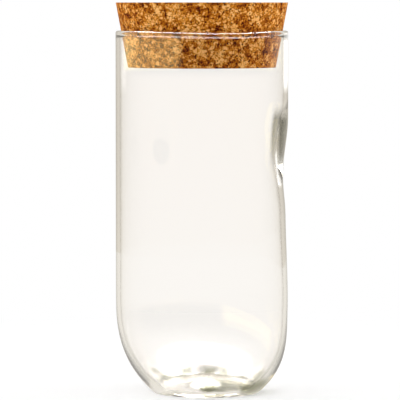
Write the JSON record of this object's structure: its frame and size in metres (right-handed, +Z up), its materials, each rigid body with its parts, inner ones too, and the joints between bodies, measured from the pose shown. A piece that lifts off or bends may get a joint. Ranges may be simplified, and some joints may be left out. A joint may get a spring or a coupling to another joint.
{
  "type": "glass storage jar with cork stopper",
  "caption": "Tall straight-sided storage jar of clear blown glass with a soft round heel and a thumb dent in one side, closed by a broad tapered stopper of pressed cork that lifts out.",
  "frame": {"origin": "middle of the foot, on the plane of the flat ring that the jar stands on", "axes": "+Z up along the jar's axis; +X points out through the thumb dent in the side; -Y faces the viewer of the picture"},
  "size_m": [0.1, 0.1, 0.2263],
  "materials": {
    "glass": "polished",
    "cork": "matte"
  },
  "bodies": {
    "jar": {"glass_jar": "glass"},
    "stopper": {"cork_stopper": "cork"}
  },
  "joints": [
    {"name": "stopper_lift", "type": "slide", "parent": "jar", "child": "stopper", "axis": [0, 0, 1], "range_m": [0, 0.08]}
  ]
}
